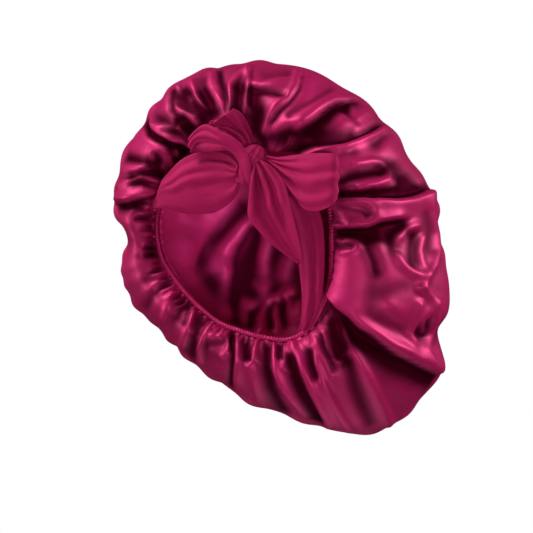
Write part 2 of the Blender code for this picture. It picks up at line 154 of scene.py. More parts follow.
def settle(points, cloth, handling, turns, closed):
    # Cloth at rest on a grid of threads. Each turn moves the points by a share of their speed
    # (glide), a pull to the goal and their weight, then gives the threads across, along and, less
    # firmly, aslant their cut lengths again, and straightens bends a little (stiff).
    rows, columns = points.shape[:2]
    across, along, free = cloth["across"], cloth["along"], cloth["free"]
    weight = np.array([0.0, 0.0, -handling["weight"]])
    here = np.arange(columns if closed else columns - 1)
    beside = (here + 1) % columns
    wide = 0.5 * (across[:-1] + across[1:])
    high = 0.5 * (along[:, here] + along[:, beside])
    aslant = np.sqrt(wide**2 + high**2)
    every = slice(None)
    pairs = [(slice(odd, rows - 1, 2), slice(odd + 1, rows, 2)) for odd in (0, 1)]
    speed = np.zeros_like(points)
    for turn in range(turns):
        moved = points + speed * handling["glide"] + free[..., None] * (
            handling["pull"] * (cloth["goal"] - points) + weight)
        for odd in (0, 1):
            left, right = here[odd::2], beside[odd::2]
            pull(moved, free, (every, left), (every, right), across[:, left])
        for odd, (near, far) in enumerate(pairs):
            pull(moved, free, near, far, along[odd::2])
        for odd, (near, far) in enumerate(pairs):
            for left, right in ((here, beside), (beside, here)):
                pull(moved, free, (near, left), (far, right), aslant[odd::2], handling["aslant"])
        for axis in (1, 0):
            moved = straightened(moved, free, handling["stiff"], axis, closed and axis == 1)
        speed = moved - points
        points = moved
    return points


def drape(shape, levels, handling, closed):
    # settles a coarse grid first and each finer one from it
    points = None
    for level, (rows, columns, turns) in enumerate(levels, start=1):
        cloth = shape(rows, columns)
        if points is None:
            points = cloth["start"].copy()
        else:
            points = respaced(respaced(points, rows).swapaxes(0, 1), columns).swapaxes(0, 1)
            held = cloth["free"] == 0.0
            points[held] = cloth["start"][held]
            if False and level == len(levels):
                turns = turns // 3
        points = settle(points, cloth, handling, turns, closed)
    return points, cloth


def fromPath(path, right, up, reach):
    # Which points of a grid lie within reach of a path, the square of their distance to it and
    # how far they stand to its left. A path is drawn as seen from the front, right and up.
    path = np.reshape(path, (-1, 2)).astype(float)
    low, high = path.min(axis=0) - reach, path.max(axis=0) + reach
    near = (right > low[0]) & (right < high[0]) & (up > low[1]) & (up < high[1])
    right, up = right[near], up[near]
    nearest, side = np.full(len(right), 1e9), np.zeros(len(right))
    for begin, end in zip(path[:-1], path[1:]):
        stepRight, stepUp = end - begin
        span = math.hypot(stepRight, stepUp)
        aside, above = right - begin[0], up - begin[1]
        share = np.clip((aside * stepRight + above * stepUp) / span**2, 0.0, 1.0)
        away = (aside - share * stepRight)**2 + (above - share * stepUp)**2
        closer = away < nearest
        side = np.where(closer, (stepRight * above - stepUp * aside) / span, side)
        nearest = np.where(closer, away, nearest)
    return near, nearest, side


def planRelief(folds, right, up, spread):
    # height of all folds: each is a bell of the distance to its own path
    height = np.zeros(right.shape)
    for rise, width, *path in folds:
        near, nearest, side = fromPath(path, right, up, 3 * spread * width)
        height[near] += rise * np.exp(-nearest / (spread * width)**2)
    return height


def planSteps(creases, right, up, edge):
    # Height of all creases: across each path the cloth steps from one level to the other, within a
    # width that grows with the step, and both levels fade out as bells of the distance to it.
    height = np.zeros(right.shape)
    for rise, leftWide, rightWide, *path in creases:
        near, nearest, side = fromPath(path, right, up, 3 * max(leftWide, rightWide))
        half = np.where(side > 0, leftWide, rightWide)
        height[near] += rise * np.tanh(side / (edge * abs(rise))) * np.exp(-nearest / half**2)
    return height


def evened(grid, width, axis):
    # the running mean of a grid along its rows or round its columns, weighted by a bell of
    # this width in steps
    reach = int(3 * width) + 1
    weight = bell(np.arange(-reach, reach + 1), width)
    weight /= weight.sum()
    size = grid.shape[axis]
    place = np.arange(-reach, size + reach)
    place = place % size if axis == 1 else np.clip(place, 0, size - 1)
    wider = np.take(grid, place, axis)
    return sum(part * np.take(wider, np.arange(size) + move, axis)
               for move, part in enumerate(weight))


def waves(random, angles, size, low, high):
    # a smooth uneven line round the opening: sines of all counts from low up to high
    turn = np.radians(angles)
    return size * sum(random.normal() / math.sqrt(count) * np.sin(
        count * turn + random.uniform(0, phaseSpan)) for count in range(low, high))


def gridCorners(rows, columns, closed):
    # row and column of each face's four corners, in the order that faces out
    row, column = np.meshgrid(np.arange(rows - 1), np.arange(columns if closed else columns - 1),
                              indexing="ij")
    return joined(row, row + 1, row + 1, row), joined(column, column, column + 1, column + 1)


def gridFaces(points, closed):
    # one face between each four neighbours
    rows, columns = points.shape[:2]
    row, column = gridCorners(rows, columns, closed)
    return row * columns + column % columns


def stripFlat(across, along):
    # a corner's place on the cut strip: the threads' own lengths, added up
    right = np.concatenate([[0.0], np.cumsum(across.mean(axis=0))])
    up = np.concatenate([[0.0], np.cumsum(along.mean(axis=1))])
    row, column = gridCorners(len(up), len(right), False)
    return joined(right[column], up[row])


def roundFlat(along):
    # a bag cut as one circle: a corner lies as far from the circle's middle as the cloth is long
    # between it and the middle of the back
    left = np.concatenate([np.cumsum(along.mean(axis=1)[::-1])[::-1], [0.0]])
    columns = along.shape[1]
    row, column = gridCorners(len(left), columns, True)
    turn = column * fullTurn / columns
    return joined(left[row] * np.cos(turn), left[row] * np.sin(turn))


def foldDepth(points, relief, bag):
    # how far each point stands out of the cloth around it, from 0 in a furrow to 1 on a ridge:
    # # its place against the running mean, and half the height of the fold it belongs to; the
    # # material paints shade in the furrows by it
    alongWide, acrossWide = bag["shadeWindow"]
    low = evened(evened(points, alongWide, 0), acrossWide, 1)
    out = ((points - low) * facing(low, True)).sum(axis=2)
    return smoothStep(*bag["shadeSpan"], out + 0.5 * relief)


def inScene(name, data):
    # an object that shows this mesh, lamp or camera
    item = bpy.data.objects.new(name, data)
    scene.collection.objects.link(item)
    return item


def newPiece(name, node, points, faces, material, flat, depth=None):
    # flat: where each corner of each face lies on the cloth; depth: see foldDepth, the fold
    # attribute that the material paints shade by
    mesh = bpy.data.meshes.new(name)
    points = points.reshape(-1, 3) * millimetre
    mesh.from_pydata(points.tolist(), [], faces.reshape(-1, 4).tolist())
    mesh.update()
    mesh.polygons.foreach_set("use_smooth", np.ones(len(mesh.polygons), bool))
    layer = mesh.uv_layers.new(name="cloth")
    layer.data.foreach_set("uv", (flat * millimetre).astype(np.float32).reshape(-1))
    if depth is not None:
        mesh.attributes.new("fold", "FLOAT", "POINT").data.foreach_set("value", depth.reshape(-1))
    mesh.materials.append(material)
    piece = inScene(name, mesh)
    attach(piece, "root")
    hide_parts(node)
    return piece


def fill(tree, node, sockets):
    # each socket takes a value, or a link from another node's output
    for socket, value in sockets.items():
        if isinstance(value, bpy.types.NodeSocket):
            tree.links.new(value, node.inputs[socket])
        else:
            node.inputs[socket].default_value = value


def newNode(tree, kind, sockets, **settings):
    # outputs of a new shader node with these sockets and settings
    node = tree.nodes.new("ShaderNode" + kind)
    for setting, value in settings.items():
        setattr(node, setting, value)
    fill(tree, node, sockets)
    return node.outputs


def newMaterial(name, sockets):
    # a plain material with these values on its shader
    material = bpy.data.materials.new(name)
    material.use_nodes = True
    fill(material.node_tree, material.node_tree.nodes["Principled BSDF"], sockets)
    return material


def clothMaterial(name, finish):
    # colour drifts over the cloth, fine threads show as bump, and streaks change the gloss
    material = newMaterial(name, finish["shader"])
    tree = material.node_tree
    shader = tree.nodes["Principled BSDF"]
    cloth = newNode(tree, "UVMap", {}, uv_map="cloth")["UV"]

    def spread(scale=(1.0, 1.0, 1.0), turn=0.0):
        return newNode(tree, "Mapping", {
            "Vector": cloth, "Scale": scale, "Rotation": (0.0, 0.0, turn)})["Vector"]

    def noise(vector, scale, detail):
        return newNode(tree, "TexNoise", {
            "Vector": vector, "Scale": scale, "Detail": detail, "Roughness": 0.5})["Fac"]

    def ramp(factor, places, colours):
        node = tree.nodes.new("ShaderNodeValToRGB")
        for element, place, colour in zip(node.color_ramp.elements, places, colours):
            element.position = place
            element.color = colour
        fill(tree, node, {"Fac": factor})
        return node.outputs["Color"]

    def times(colour, shade):
        return newNode(tree, "Mix", {"Factor": 1.0, 6: colour, 7: shade},
                       data_type="RGBA", blend_type="MULTIPLY")[2]

    def between(factor, source, target):
        return newNode(tree, "MapRange", {
            "Value": factor, "From Min": source[0], "From Max": source[1],
            "To Min": target[0], "To Max": target[1]})["Result"]

    def bump(height, strength, distance, **below):
        return newNode(tree, "Bump", {
            "Height": height, "Strength": strength, "Distance": distance} | below)["Normal"]

    # colour: broad drift of the dye, and slubs along the thread
    drift = noise(spread(), finish["driftScale"], 3.0)
    colour = ramp(drift, finish["driftSpan"], (finish["dark"], finish["light"]))
    slub = noise(spread(finish["slub"]), 1.0, 2.0)
    colour = times(colour, ramp(slub, finish["slubSpan"], (finish["slubShade"], white)))
    if "furrow" in finish:
        # painted shade: the fold attribute darkens the colour and lowers the specular level in the
        # furrows
        fold = newNode(tree, "Attribute", {}, attribute_name="fold")["Fac"]
        colour = times(colour, ramp(fold, finish["furrowSpan"], (finish["furrow"], white)))
        gloss = (0.0, finish["shader"]["Specular IOR Level"])
        fill(tree, shader, {"Specular IOR Level": between(fold, finish["furrowGlossSpan"], gloss)})
    # gloss: streaks along the thread, and highlights drawn out by it
    grain = newNode(tree, "Tangent", {}, direction_type="UV_MAP", uv_map="cloth")["Tangent"]
    rough = between(slub, finish["roughSpan"], finish["roughness"])
    # bump: two sets of threads crossing, and the cloth's fine crinkle
    normal = {}
    for turn, count, strength in finish["threads"]:
        wave = newNode(tree, "TexWave", {
            "Vector": spread(turn=turn), "Scale": count, "Distortion": finish["threadWander"],
            "Detail": 1.0, "Detail Scale": 2.0})["Fac"]
        normal = {"Normal": bump(wave, strength, finish["threadHeight"], **normal)}
    crinkle = noise(spread(finish["crinkleSpread"]), 1.0, 3.0)
    fill(tree, shader, {"Base Color": colour, "Tangent": grain, "Roughness": rough,
                        "Normal": bump(crinkle, *finish["crinkle"], **normal)})
    return material


clothFinish = dict(      # spans: where in its noise or fold a shade or gloss begins and ends; the shade over the fold is painted shade
    driftSpan=(0.30, 0.70), slubSpan=(0.35, 0.65), slubShade=(0.90, 0.90, 0.90, 1.0),
    roughSpan=(0.3, 0.7), furrowSpan=(0.0, 0.9), furrowGlossSpan=(0.0, 0.8),
)

satinFinish = clothFinish | dict(
    dark=(0.315, 0.0045, 0.064, 1.0),
    light=(0.410, 0.0068, 0.090, 1.0),
    driftScale=9.0,
    slub=(1400.0, 26.0, 1.0),
    roughness=(0.48, 0.54),
    threads=((0.0, 900.0, 0.10), (math.pi / 2, 700.0, 0.08)),      # turn, count, strength
    threadWander=1.5,
    threadHeight=0.00005,
    crinkle=(0.25, 0.0012),      # strength, height in metres
    crinkleSpread=(60.0, 30.0, 1.0),
    shader={"Metallic": 0.4, "Specular Tint": (1.0, 0.62, 1.0, 1.0), "Specular IOR Level": 0.35,
            "Anisotropic": 0.1},
)

crepeFinish = clothFinish | dict(
    dark=(0.255, 0.0050, 0.050, 1.0),
    light=(0.335, 0.0072, 0.072, 1.0),
    driftScale=14.0,
    slub=(700.0, 60.0, 1.0),
    roughness=(0.58, 0.66),
    threads=((0.0, 800.0, 0.35), (math.pi / 2, 800.0, 0.35)),
    threadWander=2.0,
    threadHeight=0.00012,
    crinkle=(0.30, 0.0006),
    crinkleSpread=(220.0, 120.0, 1.0),
    shader={"Metallic": 0.0, "Specular Tint": (1.0, 0.30, 0.50, 1.0), "Specular IOR Level": 0.12,
            "Sheen Weight": 0.03, "Sheen Roughness": 0.5, "Sheen Tint": (1.0, 0.15, 0.35, 1.0)},
)

# painted shade: the crown's furrow colour
satin = clothMaterial("crown_satin", satinFinish | dict(furrow=(0.080, 0.024, 0.055, 1.0)))
# the lining is the same satin, its colour made about twice as light to paint in the light that
# reaches inside, with a painted shade colour for its furrows
liningSatinPaintedLighter = clothMaterial("inner_satin_painted_lighter", satinFinish | dict(
    furrow=(0.14, 0.07, 0.12, 1.0),
    dark=(0.66, 0.0220, 0.190, 1.0), light=(0.80, 0.0310, 0.235, 1.0),
    shader=satinFinish["shader"] | {"Specular IOR Level": 0.5}))
casingSatin = clothMaterial("casing_satin", satinFinish)
tieCloth = clothMaterial("tie_crepe", crepeFinish)


opening = dict(
    casingWidth=5.0, casingDepth=6.0, casingCentre=1.5, gap=0.35,
    # angle, radius of the opening, largest radius of the crown, how far back that lies, belly
    sections=(
        (0, 92, 165, 80, 12), (15, 94, 166, 80, 12), (30, 98, 157, 78, 12), (45, 99, 159, 76, 13),
        (60, 100, 161, 74, 16), (75, 99, 171, 72, 18), (90, 98, 173, 70, 20),
        (105, 98, 176, 66, 20), (119, 97, 181, 62, 20), (130, 96, 172, 58, 18),
        (145, 93, 168, 56, 18), (158, 91, 162, 54, 18), (170, 89, 152, 52, 18),
        (181, 86, 135, 50, 16), (192, 83, 147, 50, 16), (205, 78, 145, 52, 16),
        (225, 75, 134, 54, 16), (240, 76, 138, 56, 16), (255, 80, 144, 60, 16),
        (270, 84, 161, 66, 16), (285, 93, 180, 72, 16), (300, 105, 212, 80, 16),
        (312, 107, 212, 86, 14), (323, 103, 208, 90, 14), (331, 101, 185, 88, 13),
        (338, 98, 187, 86, 12), (345, 95, 181, 84, 12),
    ),
)


def aroundOpening(angles):
    # radius of the opening, reach, depth and belly at any angles, smooth all the way round
    table = np.array(opening["sections"], float)
    lap = np.array([360, 0, 0, 0, 0])
    table = np.concatenate([table[-3:] - lap, table, table[:3] + lap])
    return curveThrough(table[:, 0], table[:, 1:], np.mod(angles, 360.0)).T


def ringPoints(angles, radius, depth):
    # points this far out round the opening and this far behind it
    turn = np.radians(angles)
    return joined(radius * np.cos(turn), depth, radius * np.sin(turn))


def ringAngles(columns):
    # evenly spaced angles all the way round
    return np.arange(columns) * 360.0 / columns


def turned(right, out):
    # from the turned view to the bonnet's own axes, or back
    turn = math.radians(viewTurn)
    return (right * math.cos(turn) + out * math.sin(turn),
            right * math.sin(turn) - out * math.cos(turn))


def fromView(right, up, out):
    # points at right, up and out in the turned view
    return joined(*turned(right, out), up)


def toView(points):
    # right, up and out in the turned view
    right, out = turned(points[..., 0], points[..., 1])
    return right, points[..., 2], out


def bagBase(bag, angles, runs, outMeasures, backMeasures):
    # A smooth bag round the opening's axis. Each row of its line is a run and the shares of the
    # measures that add up to its radius and to its depth there, with a cubic through the rows.
    line = np.array(bag["line"], float)
    shares = np.split(line, (1, 1 + len(outMeasures)), axis=1)[1:]
    radius, depth = (curveThrough(line[:, 0], share @ joined(*measures).T, runs)
                     for share, measures in zip(shares, (outMeasures, backMeasures)))
    base = ringPoints(angles, radius, depth)
    normal = facing(base, True)
    normal[-1] = (0.0, 1.0, 0.0)
    return base, normal


def bagRows(bag, rows):
    # the rows' runs: a share of their spacing is even, and the rest grows towards the back
    share = np.linspace(0.0, 1.0, rows)
    return bag["evenRows"] * share + (1.0 - bag["evenRows"]) * share**2


def drawnFolds(bag, folds, base, normal):
    # the drawn folds and their height, where the front view sees this side of the cloth
    right, up, out = toView(base)
    seen = smoothStep(0.0, bag["seenFrom"], toView(normal)[2])
    folds = planRelief(folds, right, up, bag["foldSpread"]) * seen
    height = np.where(folds < 0.0, bag["furrowGain"], bag["foldGain"]) * folds
    return right, up, seen, folds, height


def bagCloth(start, goal, relief):
    # a bag's first and last rows are held where they start, and relief carries the heights its
    # painted shade is worked out from
    free = np.ones(goal.shape[:2])
    free[[0, -1]] = 0.0
    across, along = threadLengths(goal, True)
    return dict(start=start, goal=goal, relief=relief, free=free, across=across, along=along)


def makeBag(name, node, bag, shape, material):
    # a bag settled from its shape, with the fold attribute its painted shade is drawn by; it counts
    # as one circle of cloth
    points, cloth = drape(shape, bag["levels"], bag["handling"], True)
    piece = newPiece(name, node, points, gridFaces(points, True), material,
                     roundFlat(cloth["along"]), foldDepth(points, cloth["relief"], bag))
    tell(f"{node} {points.shape[0]} x {points.shape[1]}")


crown = dict(
    back=165.0,      # from the opening to the middle of the back
    # run, shares of mouth and reach in the radius, shares of belly, depth and back in the depth
    line=((0, 1, 0, 0, 0, 0), (0.06, 0.92, 0.08, -0.62, 0, 0), (0.16, 0.68, 0.32, -1, 0, 0),
          (0.28, 0.32, 0.68, -0.15, 0.06, 0), (0.38, 0.08, 0.92, 0, 0.46, 0),
          (0.48, 0, 1, 0, 1, 0), (0.60, 0, 0.93, 0, 0.48, 0.52), (0.72, 0, 0.74, 0, 0.20, 0.80),
          (0.86, 0, 0.40, 0, 0.04, 0.96), (1, 0, 0, 0, 0, 1)),
    levels=((150, 640, 14),),      # rows, columns, turns
    evenRows=0.55, seed=3,
    handling=dict(weight=0.0, glide=0.5, pull=0.12, aslant=0.3, stiff=0.12),
    foldGain=0.60, furrowGain=0.40, foldSpread=1.1, creaseGain=0.9, creaseEdge=0.36, seenFrom=0.24,
    # painted shade of the folds: gain, reach of the furrows' shade, share of a ridge that holds it
    # off, window of the running mean and span of the measure
    shadeGain=1.3, shadeSpread=1.4, ridgeShade=0.6, shadeWindow=(4.0, 9.0), shadeSpan=(-7.0, 3.0),
    backGain=0.5, backBegin=(0.18, 0.44), backEnd=0.35, behind=0.7, behindFrom=(0.50, 0.62),
    # count, height, middle run, half width in run, share kept where the drawn folds are
    gathers=((118, 0.8, 0.0, 0.045, 0.9), (70, 1.5, 0.03, 0.06, 0.5), (41, 1.5, 0.12, 0.10, 0.15),
             (27, 1.3, 0.24, 0.14, 0.1), (15, 1.4, 0.64, 0.08, 0.0)),
    wander=(1.5, 1, 12), lean=(3.0, 1, 7), swell=(0.35, 3),      # size, fewest and most waves
    smoothFlank=(345.0, 24.0, 0.6),      # angle, half width, share of the gathers left out
    tallest=((0.0, 7.0), (0.1, 13.0), (0.36, 12.0), (0.5, 8.0), (1.0, 6.0)),      # by run
    # where the gathers sag over the brow: angle, half width, run, half width, down, forward
    brow=(82.0, 30.0, 0.055, 0.055, 19.0, 5.0),
    sewnRuns=(-0.03, 0.05), tucks=74, tuckHeight=1.1, tuckSeed=11,
    tuckWander=(1.2, 2, 30), tuckSwell=(0.4, 5), sewnUnder=1.0,
    flat=(0.70, 0.70),
)

# how far the left side stands up, half width to the left and to the right, and each point's
# right and up
crownCreases = [
    (-6, 8, 12, 90,38, 109,38, 128,39, 147,38, 162,41, 175,45, 183,49),
    (6, 16, 15, 82,-53, 90,-65, 100,-73, 111,-83, 124,-90, 142,-103, 162,-113, 180,-123, 191,-129),
    (6, 8, 8, 81,13, 90,10, 104,10, 119,11, 131,16, 146,18),
    (6, 6, 5, -89,115, -86,105, -78,99, -68,94, -57,90, -48,88),
    (-5, 7, 8, -78,47, -87,43, -97,40, -109,37, -120,37),
    (-5, 6, 6, 57,80, 71,85, 86,87, 100,90, 112,95, 124,101, 134,108),
    (3.5, 12, 9, 61,107, 68,113, 75,119, 83,125, 92,131, 104,134),
]

# height (a furrow is negative), half width, and each point's right and up
crownFolds = [
    (5, 4, -68,146, -70,136, -69,125, -64,117, -57,109),
    (-7, 3.8, -65,144, -66,135, -66,125, -60,117, -50,105, -45,100),
    (-5, 5, -55,113, -48,106, -43,103),
    (6, 3.2, -61,148, -64,141, -64,132, -60,125, -51,121, -44,116, -39,110),
    (-8, 7, -55,139, -54,132, -48,125, -40,121, -33,113),
    (3, 3, -54,144, -51,139, -48,136),
    (-4, 3, -54,146, -48,142, -44,133, -38,124, -31,114),
    (6, 3.8, -47,152, -45,142, -39,132, -32,122, -27,111),
    (-8, 6.5, -34,139, -29,130, -25,121),
    (-3, 5, -35,155, -35,144, -31,135),
    (6, 3.8, -28,159, -30,148, -28,141, -21,134, -16,128, -13,119),
    (2, 5, -24,160, -23,148, -19,140),
    (-6, 2.8, -20,163, -18,152, -14,141, -12,129, -12,120),
    (6, 3.4, 7,164, -2,157, -9,148, -10,140, -10,128, -10,119),
    (-8, 6, 0,143, -2,134, -2,124, 1,116),
    (-3, 5, 3,157, -2,148),
    (5, 4.5, 10,165, 9,152, 7,138, 5,125, 3,116),
    (-4, 2.4, 11,167, 11,154, 10,141, 10,128),
    (-8, 3.2, -92,115, -87,105, -79,98, -68,92, -55,88),
    (-6, 5, -83,118, -74,116, -66,111, -61,109),
    (4, 3.4, -84,111, -74,108, -65,106, -59,107),
    (-6, 4.4, -73,103, -65,102, -57,98, -53,94),
    (3, 2.6, -57,106, -54,101, -50,94),
    (3, 9, -102,101, -87,93, -73,87),
    (4, 2.8, -84,78, -84,84, -79,86, -72,86, -67,80, -63,72),
    (-5, 3.6, -81,82, -78,77),
    (-7, 4.8, -110,81, -103,79, -91,75, -80,70),
    (4, 4.5, -112,69, -95,69, -78,67),
    (-7, 4, -106,62, -95,64, -86,64, -77,63),
    (6, 3, -116,53, -106,58, -97,60, -86,59, -77,57),
    (-6, 4.4, -102,54, -94,55, -86,53, -78,52),
    (-5, 2.8, -66,85, -63,79, -59,74),
    (-6, 3, -53,86, -57,78),
    (4, 2.4, -61,86, -58,76),
    (4, 7, -117,48, -108,44, -95,45, -81,49),
    (-3.8, 6, -114,31, -104,32, -96,30),
    (3, 4, -87,35, -94,27),
    (-4, 2.2, -100,21, -89,22, -80,26),
    (-4.5, 3, -86,13, -80,16, -77,21),
    (2, 4, -78,13, -86,8, -92,-2, -96,-13),
    # a wide shallow furrow whose painted shade dims the flank here, with a slight dent
    (-1.6, 7, -101,8, -103,-10, -102,-25),
    (-5.5, 6, -75,7, -80,-2, -86,-11),
    (-3.5, 4.5, -72,-10, -80,-13),
    (2, 2.4, -86,-22, -78,-17, -71,-13),
    (-3.5, 4, -70,-21, -80,-28, -91,-38),
    (1.5, 3, -66,-25, -75,-35, -84,-45),
    (-4, 4.5, -65,-35, -74,-44, -84,-53, -91,-64),
    (3.2, 3.2, -61,-41, -66,-51, -70,-63, -74,-74),
    (-5.2, 6.5, -53,-55, -55,-65, -61,-75),
    (4, 2.6, -61,-37, -59,-45, -55,-49, -50,-48),
    (-3.8, 2.8, -56,-41, -53,-46),
    (6, 4, -45,-62, -47,-74, -50,-86, -54,-100),
    (-3.8, 2.6, -48,-57, -48,-68, -52,-80),
    (-3.8, 4, -40,-58, -35,-66),
    (-6, 6.5, -37,-78, -41,-87, -46,-100, -48,-112),
    (6, 3.2, -17,-83, -27,-82, -32,-86, -36,-94, -39,-104, -39,-116),
    (5, 4, -11,-88, -18,-92, -27,-92),
    (-4.5, 5, -30,-100, -22,-98, -11,-96),
    (-2.2, 5, -32,-110, -19,-112),
    (4, 3.2, -9,-96, -11,-104, -17,-111),
    (-7, 2.6, -7,-88, -7,-100, -7,-112, -9,-128, -10,-141),
    (3, 5, -2,-100, -3,-114, -4,-133),
    (-8, 5.4, 6,-98, 6,-104, 7,-111),
    (3.5, 3, 13,-104, 12,-112, 8,-118, 1,-115),
    (4, 3, 19,-93, 16,-103, 14,-112),
    (4, 3.4, 10,-118, 13,-129, 16,-144, 19,-160),
    (-7, 5.5, 26,-102, 25,-120, 28,-139, 34,-153, 41,-164),
    (-5, 3, 38,-99, 37,-109),
    (6, 3, 36,-87, 33,-97, 32,-109, 34,-124, 41,-138, 49,-149, 59,-162, 63,-168),
    (4, 3.6, 48,-90, 46,-104, 42,-120),
    (-9, 6, 48,-112, 51,-128, 58,-144, 68,-162, 74,-172),
    (8, 4.4, 50,-87, 52,-103, 58,-116, 64,-128, 69,-142, 76,-157, 84,-175),
    (-7, 4, 66,-105, 67,-116, 70,-127),
    (6, 3.4, 68,-100, 71,-114, 76,-128, 82,-142, 89,-155, 97,-169, 104,-180),
    (4, 2.8, 72,-93, 76,-104, 82,-116, 86,-126),
    (-5, 2.8, 75,-90, 78,-100, 82,-109, 86,-121),
    (5, 3.2, 78,-86, 82,-100, 86,-110, 93,-114, 100,-107),
    (-10, 7, 87,-80, 89,-93, 93,-105),
    (-5.5, 6, 100,-116, 106,-133, 115,-154, 124,-173),
    (7, 4.4, 91,-72, 98,-90, 107,-106, 118,-125, 129,-148, 142,-175),
    (-8, 12, 112,-93, 125,-106, 142,-120, 163,-130, 179,-135),
    (-6, 5, 94,-66, 100,-73),
    (3, 14, 101,-23, 101,-38, 104,-53),
    (3, 5, 88,-57, 101,-69, 118,-82, 137,-95, 156,-106),
    (-8, 5.5, 95,54, 104,58, 117,62, 130,65),
    (4, 2.8, 108,70, 124,73, 135,72, 141,66, 139,57, 128,51, 111,48),
    (-8, 5, 125,43, 138,45, 152,47),
    (-5, 3, 93,41, 109,42, 125,42),
    (-4, 6, 155,57, 162,50, 157,46),
    (-6, 4, 93,32, 104,31, 114,28, 118,23),
    (3, 4, 100,37, 116,35, 124,30, 125,23),
    (-5, 2.6, 84,24, 90,19, 98,14),
    (-8, 6, 129,4, 141,10, 150,12),
    (-7, 6, 139,0, 142,-8),
    (-6, 5, 95,5, 109,5, 122,3),
    (3, 3, 98,1, 108,-2, 111,-7, 106,-10, 96,-12),
    (-5, 3, 84,-6, 93,-7, 103,-7),
    (-7, 5.5, 114,0, 120,-10, 124,-20, 126,-29),
    (6, 4, 165,13, 154,10, 145,0, 143,-11, 151,-23, 162,-31, 172,-35),
    (-6, 5, 163,2, 162,-10, 161,-21),
    (6, 3, 172,2, 168,-10, 170,-21, 174,-32),
    (8, 3.4, 180,42, 182,25, 187,6, 188,-10, 183,-24, 175,-33, 170,-44),
    (-3, 5, 177,24, 180,8, 179,-8),
    (-3, 7, 125,-42, 138,-48, 152,-45),
    (-4, 8, 124,-54, 122,-67, 129,-81, 141,-93),
    (3, 7, 139,-62, 147,-70, 156,-80),
    (7, 3, 168,-60, 166,-71, 160,-81, 156,-88, 162,-96),
    (7, 3, 186,-57, 179,-66, 171,-76, 171,-86),
    (7, 3.6, 169,-45, 180,-54, 185,-64, 184,-78, 179,-93, 174,-104, 181,-118),
    (-3, 5, 175,-76, 169,-89),
    (-9, 8, 15,132, 17,119, 15,102),
    (-6, 3.4, 13,142, 24,141, 33,139, 41,136),
    (4, 4, 10,148, 21,146, 30,148, 41,151, 50,153),
    (-3, 5, 25,158, 38,159, 48,158),
    (6, 4.4, 54,160, 55,150, 50,141, 42,132, 33,124, 27,112, 21,102),
    (-4, 3.2, 58,154, 55,141, 47,129, 38,120, 30,111),
    (3, 8, 65,152, 61,138),
    (-3.5, 3.4, 86,143, 78,136, 68,129, 57,122, 48,116),
    (3, 6, 57,110, 43,106, 30,101),
    (-6.5, 8, 98,128, 88,122, 81,112, 72,103, 58,92, 46,86),
    (2.5, 7, 78,130, 66,121, 53,112, 38,101, 27,93),
    (-6, 6, 33,94, 41,98, 48,100),
    (4, 2.6, 48,94, 46,88, 38,84, 31,80),
    (-6, 3.4, 21,92, 22,86),
    (4, 7, 92,120, 97,112, 107,107),
    (-6, 6, 74,97, 87,98, 103,100),
    (-4, 5, 96,83, 104,83),
    (-5, 6.5, 133,101, 127,93),
    (4, 3.6, 105,132, 107,122, 111,115, 118,121, 124,124),
    (-3, 3, 101,124, 104,116, 110,110),
    (5, 9, 139,87, 150,74, 163,60, 173,50),
    (-7, 8, 142,69, 150,61, 160,53, 165,46),
]

# the folds that carry on over the widest part and fade on the back: angle there, height,
# half width in degrees, last run
backFolds = [
    (11, 9, 3.5, 0.75), (15, -8, 2.6, 0.55), (25, 8, 4, 0.7), (33, 7, 3.5, 0.6), (42, 9, 5, 0.8),
    (50, -8, 3.5, 0.55), (59, 12, 6.5, 0.85), (73, -8, 3, 0.5), (93, 11, 4, 0.7),
    (102, 9, 3.5, 0.6), (110, 9, 3, 0.7), (121, 8, 3, 0.55), (130, 11, 3.5, 0.8),
    (136, -8, 2.5, 0.45), (147, 11, 5, 0.75), (160, 9, 4.5, 0.6), (169, 11, 4, 0.75),
    (175, -8, 2.5, 0.5), (186, 9, 5.5, 0.8), (197, 8, 4, 0.55), (206, 9, 4, 0.7),
    (216, 8, 3.5, 0.55), (226, 9, 4.5, 0.75), (238, 9, 4, 0.6), (250, 9, 4.5, 0.8),
    (260, 8, 3.5, 0.55), (267, 11, 4, 0.7), (284, 11, 4.5, 0.8), (292, 9, 3, 0.6), (299, 9, 3, 0.7),
    (308, 11, 3.5, 0.75), (324, 12, 4, 0.6), (335, 8, 9, 0.6), (317, -7, 2.6, 0.6),
    (346, 8, 4, 0.6), (356, 7, 4, 0.8),
]


def backRelief(angles, runs):
    # bells across the angle that fade in before the widest part and out on the back
    at, rise, spread, last = np.array(backFolds).T[..., None]
    fade = 1.0 - smoothStep(last - crown["backEnd"], last, runs)
    fade = fade * smoothStep(*crown["backBegin"], runs)
    fade = fade * (1.0 + crown["behind"] * smoothStep(*crown["behindFrom"], runs))
    return fade.T @ (rise * bell(degreesFrom(at, angles), spread))


def gathers(angles, runs, seen):
    # waves across the angle, each set in its own band of runs; their phase wanders round the
    # opening and leans with the run, and their height swells and dies away. Where the front view
    # sees the cloth only a share of each set is kept beside the drawn folds.
    random = np.random.default_rng(crown["seed"])
    turn = np.radians(angles)
    away = runs[:, None]
    total = 0.0
    for count, height, middle, half, front in crown["gathers"]:
        wander = waves(random, angles, *crown["wander"])
        leaning = away * waves(random, angles, *crown["lean"])
        swell = 1.0 + waves(random, angles, *crown["swell"], count // 2)
        kept = 1.0 - (1.0 - front) * seen
        total += (height * kept * bell(away - middle, half) * swell
                  * np.sin(count * turn + wander + leaning))
    at, width, cut = crown["smoothFlank"]
    return total * (1.0 - cut * bell(degreesFrom(at, angles), width))


